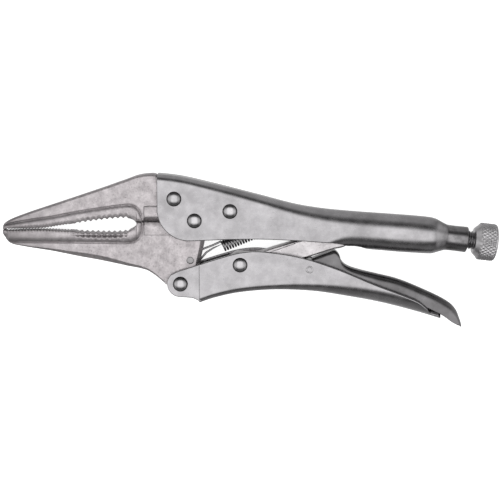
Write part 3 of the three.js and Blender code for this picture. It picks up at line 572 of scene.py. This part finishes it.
EYE_RADIUS = 8.4
LEVER_X, LEVER_Y = -6.6, -29.3
TAIL_RADIUS = 5.4
REAR_BEVEL = 1.9
LOWER_MOUTH = [(JAW_FRONT, -4.85), (-70, -4.5), (-61, -4.9), (-52, -5.4), (-44, -5.7), (-37, -5.8),
               (-31, -5.3), (-28, -3.9), (MOUTH_BACK, -2.2)]
x = np.unique(np.concatenate([
    jaw_x, CUTTER_FRONT + CUTTER_LENGTH + np.linspace(-0.4, 0.2, 5), spaced(-13.4, -10.8, 0.15),
    spaced(-10.8, -2.2, 0.4), spaced(-2.2, 5.0, 0.14), spaced(5.0, EYE_RADIUS, 0.16, "high"),
]))
tail = LEVER_Y - np.sqrt(np.clip(TAIL_RADIUS**2 - (x - LEVER_X) ** 2, 0, None))
REAR_X, REAR_Y = [-1.92, 2.2, 4.6, 4.82], [-32.0, -20.5, -9.6, -6.88]
rear = np.interp(x, REAR_X, REAR_Y)
bottom = curve(x, [(JAW_FRONT, -6.2), (-87.6, -8.0), (-85.3, -10.8), (-79, -12.4), (-66, -14.5),
                   (-54, -17.0), (-43, -19.0), (-31.5, -21.3), (-22.5, -23.1), (-18, -25.8), (-13.5, -29.6),
                   (-11.9, -30.4)])
eye_low = -np.sqrt(np.clip(EYE_RADIUS**2 - x**2, 0, None))
low = np.where(x < -11.92, bottom, tail)
low = np.where(x > REAR_X[0], rear, low)
low = np.where(x > REAR_X[-1], eye_low, low)
high = np.where(x < MOUTH_BACK, curve(x, LOWER_MOUTH) - grooves(x), PARTING_LOWER)
high = np.where(x > -EYE_RADIUS, np.maximum(-eye_low, PARTING_LOWER), high)
lower_rim = [(-90, -8.2), (-87.2, -8.6), (-85.5, -10.2), (-77, -10.4), (-60, -10.4), (-43, -10.4),
             (-30, -10.4), (-26.2, -9.0), (-24.4, -6.0), (-23.7, -1.0), (-23.2, 3.0), (40, 3.0)]


def moving_half(x, y, edge):
    """Half thickness of the moving jaw: the taper, the broad bead along the teeth, the bevelled belly of the
    nose, the bevelled rear edge and the ground cutter."""
    on = on_rim(x, y, lower_rim, -1)
    half = jaw_half(x) + 1.3 * RIM_PROUD * bead(x, on, 1.6, 1.6, 0.45) - worn(x, on, edge, 0.4, 1.3)
    belly = 1.9 * np.exp(-(((x + 45) / 20) ** 2)) + 0.5
    from_low = np.where(y < -7, edge, FAR)
    half = half - 0.85 * belly * (1 - np.clip(from_low / belly, 0, 1)) ** 1.2 * (x < -14)
    behind = np.clip(np.interp(y, REAR_Y[1:3], REAR_X[1:3]) - x, 0, FAR)
    on_rear = step(y, -22.5, -20.0) * (1 - step(y, -9.5, -8.0)) * (x > -4)
    half = half - on_rear * REAR_BEVEL * (1 - np.clip(behind / REAR_BEVEL, 0, 1))
    return ground_cutter(x, y, half, PARTING_LOWER, -1, GRIND_HEIGHT_LOWER, GRIND_DEPTH_LOWER)


piece("moving_jaw_forging", "jaw", ["moving_jaw"], "forged_steel", blasted,
      slab(x, low, high, moving_half, 84, high_cut=grooves(x) * (x < MOUTH_BACK)))


# ---- Lower lever ----
# A second pressed channel, open upwards, plated like the handle. Two thinner ears at its front straddle the
# moving jaw's tail, and its rear end is rounded like a spoon.

EAR_HALF, EAR_RADIUS, EAR_EDGE = 6.4, 6.1, 0.35
LEVER_START = 1.9
TAIL_AT, TAIL_HALF = 106.0, 8.0
# place along, floor, half width, corner
LEVER_STATIONS = [
    [LEVER_START, -38.4, 6.75, 2.8],
    [9, -36.0, 6.75, 2.8],
    [20, -33.6, 6.75, 2.9],
    [36, -32.3, 6.75, 3.2],
    [54, -33.1, 6.94, 4.6],
    [70, -35.7, 7.44, 6.6],
    [86, -38.8, 7.88, 7.7],
    [103, -43.2, 8.0, 7.8],
    [116, -47.2, 8.0, 7.8],
]
x = np.unique(np.concatenate([
    LEVER_START + np.array([0, 0.04, 0.12, 0.25, 0.4]), spaced(LEVER_START + 0.6, 98, 0.85),
    spaced(98, 110, 0.4), spaced(110, TAIL_AT + TAIL_HALF - 0.02, 0.16, "high"),
]))
floor, half, corner = (curve(x, [(row[0], row[k]) for row in LEVER_STATIONS]) for k in (1, 2, 3))
lever_top = curve(x, [(LEVER_START, -20.3), (11.7, -17.2), (20.8, -14.8), (30, -14.2), (48.1, -16.9),
                      (64.5, -22.1), (82.2, -29.4), (98, -35.6), (103, -38.0), (106.8, -41.4),
                      (109, -43.8), (114, -44.6)])
shape = Section(floor, floor + 40, half, corner, 0 * x + 0.5)
plan = np.sqrt(np.clip(TAIL_HALF**2 - np.clip(x - TAIL_AT, 0, None) ** 2, 0, None))
end = shape.to_depth(np.maximum(lever_top - floor, 0.1))
end = np.where(plan < half, np.minimum(end, shape.to_width(plan)), end)
lever = channel(x, shape, np.maximum(end, 0.25), 150, LEVER_START)

ear_x = np.unique(np.concatenate([spaced(-12.68, -12, 0.06, "low"), spaced(-12, LEVER_START + 1, 0.3)]))
ear_round = np.sqrt(np.clip(EAR_RADIUS**2 - (ear_x - LEVER_X) ** 2, 0, None))
ear_top = np.where(ear_x < -10.6, LEVER_Y + ear_round,
                   curve(ear_x, [(-10.6, -24.9), (-7.5, -23.4), (-3.4, -22.1), (2.9, -20.0)]))
ear_low = np.where(ear_x < -7.0, LEVER_Y - ear_round,
                   curve(ear_x, [(-7.0, -35.4), (-3.6, -35.6), (-1.0, -35.9), (0.2, -36.4), (2.2, -37.4),
                                 (2.9, -37.4)]))
ear = slab(ear_x, ear_low, ear_top, lambda x, y, edge: 0 * y + (EAR_HALF - CHANNEL_IN) / 2, 40, EAR_EDGE)
ears = [ear + np.array([0, 0, side * (EAR_HALF + CHANNEL_IN) / 2]) for side in (1, -1)]
piece("lower_lever_shell", "lever", ["lower_lever"], "plated_sheet", bright_plate, lever, *ears)


# ---- Toggle link ----
# A forged bar, blasted like the jaws. Its eye turns on a rivet in the lever and its nose bears on the tip of
# the adjusting screw.

LINK_X, LINK_Y, LINK_EYE_RADIUS = 20.8, -20.4, 5.5
NOSE_X, NOSE_Y, NOSE_RADIUS, NOSE_HALF = 75.0, -3.9, 3.4, 3.2
BACK_BEVEL, BELLY_BEVEL = 1.9, 0.7
x = np.unique(np.concatenate([
    spaced(LINK_X - LINK_EYE_RADIUS, LINK_X, 0.2, "low"), spaced(LINK_X, NOSE_X, 0.7),
    spaced(NOSE_X, NOSE_X + NOSE_RADIUS, 0.16, "high"),
]))
eye = np.sqrt(np.clip(LINK_EYE_RADIUS**2 - (x - LINK_X) ** 2, 0, None))
nose = np.sqrt(np.clip(NOSE_RADIUS**2 - (x - NOSE_X) ** 2, 0, None))
high = curve(x, [(19.8, -15.0), (28, -15.3), (37, -12.8), (48.1, -9.4), (60, -5.5), (68, -2.5), (73.6, -0.8)])
high = np.where(x < 19.8, LINK_Y + eye, high)
high = np.where(x > 73.6, NOSE_Y + nose, high)
low = curve(x, [(23.5, -25.2), (38, -21.6), (50.8, -17.6), (57, -15.6), (63.5, -13.6), (68.6, -12.5),
                (73, -9.4), (75.9, -7.2)])
low = np.where(x < 23.5, LINK_Y - eye, low)
low = np.where(x > 75.9, NOSE_Y - nose, low)


def link_half(x, y, edge):
    """Half thickness of the link, thinner at its nose, with broken edges and a long bevel on its back."""
    upper = y > -14 + (x - 37) * 0.36
    back = 0.55 * (1 - np.clip(edge / BACK_BEVEL, 0, 1)) * upper * step(x, 26, 32)
    belly = 0.5 * (1 - np.clip(edge / BELLY_BEVEL, 0, 1)) * ~upper
    return np.interp(x, [0, 58, 69, 90], [JAW_HALF, JAW_HALF, NOSE_HALF, NOSE_HALF]) - back - belly


dull = forged("dull_forging", (0.55, 0.53, 0.54), (0.34, 0.325, 0.33), 0.40, 0.04)
piece("toggle_link_bar", "link", ["toggle_link"], "forged_steel", dull, slab(x, low, high, link_half, 48))


# ---- Release lever ----
# A thinner strip, folded into a narrow channel that opens downwards. It nests in the lower lever on a pin,
# its hump lifts the link, and its tail is curled down for the finger.

RELEASE_SHEET = 1.5
RELEASE_HALF = 4.35
RELEASE_X, RELEASE_Y, RELEASE_EYE_RADIUS = 52.6, -22.5, 4.0
RELEASE_END = 123.38
RELEASE_TOP = [(50.5, -19.2), (54, -18.0), (61.8, -15.1), (64.5, -14.4), (66.4, -16.2), (67.4, -19.0),
               (70, -21.5), (75.4, -23.4), (84, -25.4), (93.6, -27.8), (105, -32.4), (116.3, -38.0),
               (120.9, -42.2), (123.4, -48.2)]
x = np.unique(np.concatenate([
    RELEASE_X - RELEASE_EYE_RADIUS + np.array([0, 0.05, 0.15, 0.3]), spaced(49.0, 62, 0.4),
    spaced(62, 70.5, 0.1), spaced(70.5, 112, 0.7), spaced(112, RELEASE_END, 0.12),
]))
roof = curve(x, RELEASE_TOP)
eye = np.sqrt(np.clip(RELEASE_EYE_RADIUS**2 - (x - RELEASE_X) ** 2, 0, None))
roof = np.where(x < 54, np.minimum(roof, RELEASE_Y + eye), roof)
under = curve(x, [(48.6, -22.6), (50, -25.3), (52.6, -26.5), (58, -27.3), (68, -30.1), (82, -33.9),
                  (93.6, -36.8), (105, -40.0), (112, -43.2), (115.2, -45.0), (118.6, -47.5), (121.6, -49.1),
                  (RELEASE_END, -49.55)])
corner = np.interp(x, [60, 70, 84, 124], [1.7, 2.4, 4.0, 4.0])
shape = Section(roof, roof - 60, 0 * x + RELEASE_HALF, corner, 0 * x + 0.5)
end = shape.to_depth(np.maximum(roof - under, 0.4))
release = channel(x, shape, end, 110, x[0], sheet=RELEASE_SHEET, edge_radius=0.3)
# The strip's plate is painted much darker than the handle's: painted shade, for it lies in the shade of the
# lever's channel and the handle.
shaded_release_plate = plated("shaded_release_plate", (0.15, 0.146, 0.15), (0.085, 0.082, 0.084), 0.24, 10)
piece("release_lever_strip", "release", ["release_lever"], "plated_sheet", shaded_release_plate, release)


# ---- Rivets ----
# Five hardened rivets with domed heads. Three hold the pivot and the fixed jaw in the handle, and two carry
# the lever and the link.

SHANK_RADIUS = 2.5
HEAD_RADIUS, HEAD_HEIGHT = 3.4, 1.8
SEAT = CHANNEL_OUT + 0.05
HEAD_SHADE_HEIGHT = 0.75         # height of the painted shade ring round a head's foot, above its seat
JAW_RIVETS = {"jaw_rivet_front": (-9.2, 10.0), "jaw_rivet_rear": (16.2, 4.3), "pivot_rivet": (0.0, 0.0)}
LEVER_RIVETS = {"lever_rivet": (LEVER_X, LEVER_Y), "link_rivet": (LINK_X, LINK_Y)}


def turned(profile, count, bumps=None):
    """A turned piece about Z: rings along a profile of (radius, height), each a circle. bumps changes the
    radius by a function of angle, height and radius."""
    radius, height = np.array(profile, float).T
    angle = np.linspace(0, 2 * np.pi, count + 1)[None, :-1]
    r = radius[:, None] + 0 * angle
    if bumps is not None:
        r = r + bumps(angle, height[:, None] + 0 * angle, r)
    return np.stack([r * np.cos(angle), r * np.sin(angle), height[:, None] + 0 * angle], 2)


def rivet_profile():
    """A rivet's profile from end to end: a dome that is a quarter ellipse, the seat, the shank, and the same
    again at the other end."""
    a = np.linspace(0.06, np.pi / 2, 20)
    dome = np.stack([HEAD_RADIUS * np.cos(a), SEAT + HEAD_HEIGHT * np.sin(a)], 1)
    seat = np.array([[SHANK_RADIUS, 0.0], [SHANK_RADIUS, SEAT], [HEAD_RADIUS - 0.1, SEAT]])
    half = np.concatenate([seat, dome])
    return np.concatenate([half[::-1] * [1, -1], half[1:]])


head = turned(rivet_profile(), 64)
domed = plated("rivet_dome", (0.42, 0.41, 0.42), (0.3, 0.293, 0.3), 0.16, 5, 0.008, SEAT + HEAD_SHADE_HEIGHT)
for body, rivets in (("handle", JAW_RIVETS), ("lever", LEVER_RIVETS)):
    for name, (rx, ry) in rivets.items():
        piece(name + "_head", body, [name], "rivet_steel", domed, head + np.array([rx, ry, 0]))


# ---- Spring pin and release pin ----
# Two plain pins. The spring's hook turns round one in the jaw's tail, and the release lever turns on the
# other, whose ends are peened over the lever's sides.

SPRING_X, SPRING_Y = -2.1, -18.6
# Painted shade: each pin's end is painted dark round its foot, below a height above the mid-plane or a depth
# below its top.
SPRING_PIN_SHADE_BELOW = 4.0
PIN_TOP, PIN_SHADE_DEPTH = 7.13, 0.75
PEEN_DENTS, PEEN_DEPTH, PEEN_START = 3, 0.05, 6.5


def both_ends(half):
    """A pin's profile from one end to the other, from its upper half."""
    half = np.array(half)
    return np.concatenate([half, half[-2::-1] * [1, -1]])


def peening(angle, height, radius):
    """Dents of the hammer round a pin's ends: a wave round the pin, as deep as a part of the radius."""
    return -PEEN_DEPTH * radius * (1 + np.sin(PEEN_DENTS * angle + 1)) * (np.abs(height) > PEEN_START)


spring_pin = both_ends([[0, 4.72], [1.2, 4.7], [1.55, 4.62], [1.85, 4.4], [2.05, 4.05], [2.1, 3.7], [2.1, 0]])
# Its end is painted dark round its foot: painted shade.
pin_steel = plated("spring_pin_steel", (0.28, 0.272, 0.277), (0.2, 0.194, 0.198), 0.3, 4, 0.01,
                   SPRING_PIN_SHADE_BELOW)
piece("spring_pin_end", "jaw", ["spring_pin"], "forged_steel", pin_steel,
      turned(spring_pin, 48) + np.array([SPRING_X, SPRING_Y, 0]))

release_pin = both_ends([[0, PIN_TOP - 0.8], [0.5, PIN_TOP - 0.74], [0.9, PIN_TOP - 0.45],
                         [1.2, PIN_TOP - 0.08], [1.4, PIN_TOP], [1.6, PIN_TOP - 0.05],
                         [1.76, PIN_TOP - 0.2], [1.8, PIN_TOP - 0.4], [1.8, 0]])
# Its peened ends are painted dark round their feet: painted shade.
peened = plated("pin_peening", (0.42, 0.41, 0.42), (0.3, 0.293, 0.3), 0.16, 5, 0.008, PIN_TOP - PIN_SHADE_DEPTH)
piece("release_pin_peened", "lever", ["release_pin"], "rivet_steel", peened,
      turned(release_pin, 48, peening) + np.array([RELEASE_X, RELEASE_Y, 0]))


# ---- Adjusting screw ----
# A rod with a rolled thread, in the neck. Its rounded tip sets how wide the jaws lock, and the knob is
# pressed onto its end.

SCREW_RADIUS, THREAD_PITCH, THREAD_DEPTH = 4.2, 1.25, 0.65
THREAD_SHOWS = 3.2
SCREW_TIP = -44.28
SPIGOT_RADIUS, SPIGOT_LENGTH = 3.0, 6.0
AXIS = np.array([math.cos(AXIS_ANGLE), math.sin(AXIS_ANGLE), 0.0])
AXIS_UP = np.array([-math.sin(AXIS_ANGLE), math.cos(AXIS_ANGLE), 0.0])
AXIS_FACE = np.array([NECK_END, axis_y(NECK_END), 0.0])


def on_axis(rings):
    """Turns rings about Z onto the screw's axis, with height 0 at the neck's end."""
    return (AXIS_FACE + rings[..., 2:] * AXIS + rings[..., 1:2] * AXIS_UP
            + rings[..., :1] * np.array([0.0, 0.0, 1.0]))


def thread(angle, height, radius):
    """Cut of a rounded V thread: one less a wave to the power 0.7. The wave climbs one pitch in a turn, and
    there is none at the tip or on the spigot."""
    wave = 0.5 - 0.5 * np.cos(2 * np.pi * ((height / THREAD_PITCH - angle / (2 * np.pi)) % 1))
    cut = THREAD_DEPTH * (1 - wave**0.7)
    return -cut * step(height, SCREW_TIP + 0.8, SCREW_TIP + 2.2) * (radius > SCREW_RADIUS - 0.01)


height = np.arange(SCREW_TIP + 0.9, THREAD_SHOWS - 0.05, THREAD_PITCH / 9)
tip = [[0, SCREW_TIP], [2.2, SCREW_TIP + 0.05], [3.1, SCREW_TIP + 0.3], [3.75, SCREW_TIP + 0.7]]
rod = np.stack([0 * height + SCREW_RADIUS, height], 1)
spigot = [[SPIGOT_RADIUS, THREAD_SHOWS - 0.05], [SPIGOT_RADIUS, THREAD_SHOWS + SPIGOT_LENGTH],
          [0, THREAD_SHOWS + SPIGOT_LENGTH]]
screw_plate = plated("screw_plate", (0.28, 0.275, 0.28), (0.2, 0.196, 0.2), 0.24, 3, 0.01)
piece("adjusting_screw_thread", "spindle", ["adjusting_screw"], "plated_sheet", screw_plate,
      on_axis(turned(np.concatenate([tip, rod, spigot]), 56, thread)))


# ---- Knob ----
# A turned and plated steel knob with a short cone towards the neck and a diamond-knurled rim, rounded at both
# edges. Its end is hollowed a little.

KNOB_RADIUS, HUB_RADIUS, RIM_WIDTH, KNOB_LENGTH = 8.6, 6.2, 7.8, 10.2
KNURLS, KNURL_DEPTH, KNURL_CLIMB = 30, 0.5, 0.42
KNOB_END = THREAD_SHOWS + KNOB_LENGTH
KNOB_RIM = KNOB_END - RIM_WIDTH


def knurl(angle, height, radius):
    """Diamond knurl: two crossed families of grooves on the rim, one climbing and one falling. A groove is
    one less the size of a sine to the power 0.6."""
    along = (height - KNOB_RIM) * KNURL_CLIMB
    left = np.abs(np.sin(KNURLS * angle / 2 + along * np.pi))
    right = np.abs(np.sin(KNURLS * angle / 2 - along * np.pi))
    groove = 1 - np.minimum(left, right) ** 0.6
    knurled = (step(height, KNOB_RIM - 0.1, KNOB_RIM + 0.5)
               * (1 - step(height, KNOB_END - 1.1, KNOB_END - 0.5)) * (radius > 6))
    return -KNURL_DEPTH * groove * knurled


cone = [[0, THREAD_SHOWS], [3.1, THREAD_SHOWS], [HUB_RADIUS - 0.3, THREAD_SHOWS],
        [HUB_RADIUS, THREAD_SHOWS + 0.3], [KNOB_RADIUS - 1.3, KNOB_RIM - 0.8],
        [KNOB_RADIUS - 0.6, KNOB_RIM - 0.25]]
rim = [[KNOB_RADIUS, z] for z in np.arange(KNOB_RIM + 0.3, KNOB_END - 1.0, 0.13)]
face = [[KNOB_RADIUS - 0.15, KNOB_END - 0.7], [KNOB_RADIUS - 0.6, KNOB_END - 0.25],
        [KNOB_RADIUS - 1.3, KNOB_END], [5.4, KNOB_END], [5.1, KNOB_END - 0.3], [2.0, KNOB_END - 0.3],
        [0, KNOB_END - 0.3]]
knob = turned(np.array(cone + rim + face), KNURLS * 8, knurl)
knob_plate = plated("knob_plate", (0.46, 0.45, 0.46), (0.32, 0.313, 0.32), 0.24, 6, 0.01)
piece("screw_knob_knurled", "knob", ["screw_knob"], "plated_sheet", knob_plate, on_axis(knob), sharp=55)


# ---- Return spring ----
# A close-wound steel spring that pulls the moving jaw open. A long hook goes round the pin in the jaw's tail
# and a short one over the tab in the handle.

COIL_RADIUS, WIRE_RADIUS = 2.3, 0.48
COIL_PITCH, COIL_TURNS, COIL_STEPS = 1.3, 24, 24
HOOK_RADIUS, REAR_HOOK = 2.68, 4
hook_at, tab_at = np.array([SPRING_X, SPRING_Y]), np.array([TAB_X - WIRE_RADIUS - 0.3, TAB_Y])
spring_length = np.linalg.norm(tab_at - hook_at)
spring_way = (tab_at - hook_at) / spring_length
coil_start = spring_length - COIL_TURNS * COIL_PITCH - REAR_HOOK


def wire(path, radius, sides):
    """A round wire along a path: rings square to it, turned by a fixed direction, with rounded ends."""
    tangent = np.gradient(path, axis=0)
    tangent /= np.linalg.norm(tangent, axis=1)[:, None]
    sideways = np.cross(tangent, np.array([0.13, 0.29, 0.95]))
    sideways /= np.linalg.norm(sideways, axis=1)[:, None]
    upward = np.cross(tangent, sideways)
    size = np.full(len(path), radius)
    size[[0, -1]] = 0
    size[[1, -2]] = radius * 0.8
    angle = np.linspace(0, 2 * np.pi, sides + 1)[:-1]
    return (path[:, None] + size[:, None, None] * (np.cos(angle)[None, :, None] * sideways[:, None]
                                                   + np.sin(angle)[None, :, None] * upward[:, None]))


def spring_path():
    """The wire's middle line: out of the coil to the jaw's pin, an arc round it, a straight leg back, the
    helix, and a short rear hook."""
    a = np.pi * np.linspace(-0.55, 0.8, 28)
    back = np.array([[coil_start + 1.0, 1.1, 0.8], [coil_start - 4, 0.9, 0.8], [8.0, 0.2, 0.6],
                     [4.6, -1.6, 0.3], [2.3, -2.55, 0.1]])
    hook = np.stack([-HOOK_RADIUS * np.cos(a), HOOK_RADIUS * np.sin(a), 0 * a], 1)
    hook = np.concatenate([back, hook])
    leg = np.array([[HOOK_RADIUS + 3, HOOK_RADIUS * 0.8, 0], [HOOK_RADIUS + 6, HOOK_RADIUS * 0.8, 0],
                    [coil_start - 4, COIL_RADIUS * 0.9, 0], [coil_start - 1.6, COIL_RADIUS * 0.95, 0]])
    turn = np.linspace(0, COIL_TURNS, COIL_TURNS * COIL_STEPS + 1)
    angle = np.pi / 2 + turn * 2 * np.pi
    coil = np.stack([coil_start + turn * COIL_PITCH, COIL_RADIUS * np.sin(angle),
                     COIL_RADIUS * np.cos(angle)], 1)
    coil_end = coil_start + COIL_TURNS * COIL_PITCH
    rear = np.array([[coil_end + 1.6, COIL_RADIUS * 0.7, 0], [spring_length, 0.4, 0]])
    along, up, z = np.concatenate([hook, leg, coil, rear]).T
    return np.stack([hook_at[0] + spring_way[0] * along - spring_way[1] * up,
                     hook_at[1] + spring_way[1] * along + spring_way[0] * up, z], 1)


spring_steel = plated("spring_wire", (0.26, 0.255, 0.26), (0.18, 0.176, 0.18), 0.24, 2, 0.006)
spring = piece("return_spring_coil", None, ["return_spring"], "spring_steel", spring_steel,
               wire(spring_path(), WIRE_RADIUS, 12))
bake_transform(spring)


# ---- Floor, light and camera ----
# A white paper sweep under one square softbox, seen from above with the tool's back tipped towards the lens.
# The paper isn't mirrored in the steel, which shows the dim studio below the horizon instead.

FLOOR_REACH = 20         # in metres
floor_mesh = bpy.data.meshes.new("floor")
corners = [(x * FLOOR_REACH, y * FLOOR_REACH, 0) for x, y in ((-1, -1), (1, -1), (1, 1), (-1, 1))]
floor_mesh.from_pydata(corners, [], [(0, 1, 2, 3)])
floor_object = bpy.data.objects.new("floor", floor_mesh)
bpy.context.scene.collection.objects.link(floor_object)
paper = Finish(bpy.data.materials.new("white_paper"))
floor_mesh.materials.append(paper.done(Base_Color=(0.6, 0.6, 0.6), Roughness=0.9,
                                       Emission_Color=(1.0, 1.0, 1.0), Emission_Strength=0.8))
floor_object.visible_glossy = False

# Light by the angle from straight up, in degrees, positive towards the tool's back: the box overhead, dark
# walls beside it and a little fill below. BOX_SIDE and SIDE_FILL go by the part of the direction that points
# along the tool.
BOX_LIGHT = 2.1
LIGHT_BY_ANGLE = [(-180, 0.42), (-140, 0.32), (-96, 0.17), (-66, 0.14), (-54, 0.04), (-38, 0.12), (-22, 1.0),
                  (24, 1.0), (44, 0.12), (56, 0.04), (72, 0.16), (86, 0.34), (180, 0.36)]
BOX_SIDE = [(0.36, 1.0), (0.6, 0.35)]
SIDE_FILL = [(0.5, 0.0), (0.74, 0.34)]
studio = bpy.data.worlds.new("studio")
bpy.context.scene.world = studio
sky = Finish(studio)
along, back, up = sky.parts(sky.node("TexCoord"))
lean = sky.math("ARCTAN2", back, up) / (2 * math.pi) + 0.5
shade = sky.ramp(lean, *[(degrees / 360 + 0.5, grey) for degrees, grey in LIGHT_BY_ANGLE])
sideways = sky.math("ABSOLUTE", along)
shade = shade * sky.ramp(sideways, *BOX_SIDE) + sky.ramp(sideways, *SIDE_FILL)
sky.node("OutputWorld", None, sky.node("Background", None, shade, BOX_LIGHT))

LOOK_AT = (0.02534, -0.0131, 0.0172)
TILT = math.radians(9)   # how far the camera leans towards the tool's back
DISTANCE = 0.570         # in metres, from the lens to the point that it looks at
camera = bpy.data.objects.new("camera", bpy.data.cameras.new("camera"))
camera.data.sensor_width, camera.data.lens = 36, 90.2
camera.location = (LOOK_AT[0], LOOK_AT[1] + DISTANCE * math.sin(TILT), LOOK_AT[2] + DISTANCE * math.cos(TILT))
camera.rotation_euler = (-TILT, 0, 0)
camera.data.clip_start = 0.01
bpy.context.scene.collection.objects.link(camera)
bpy.context.scene.camera = camera
bpy.context.scene.view_settings.view_transform = "Standard"
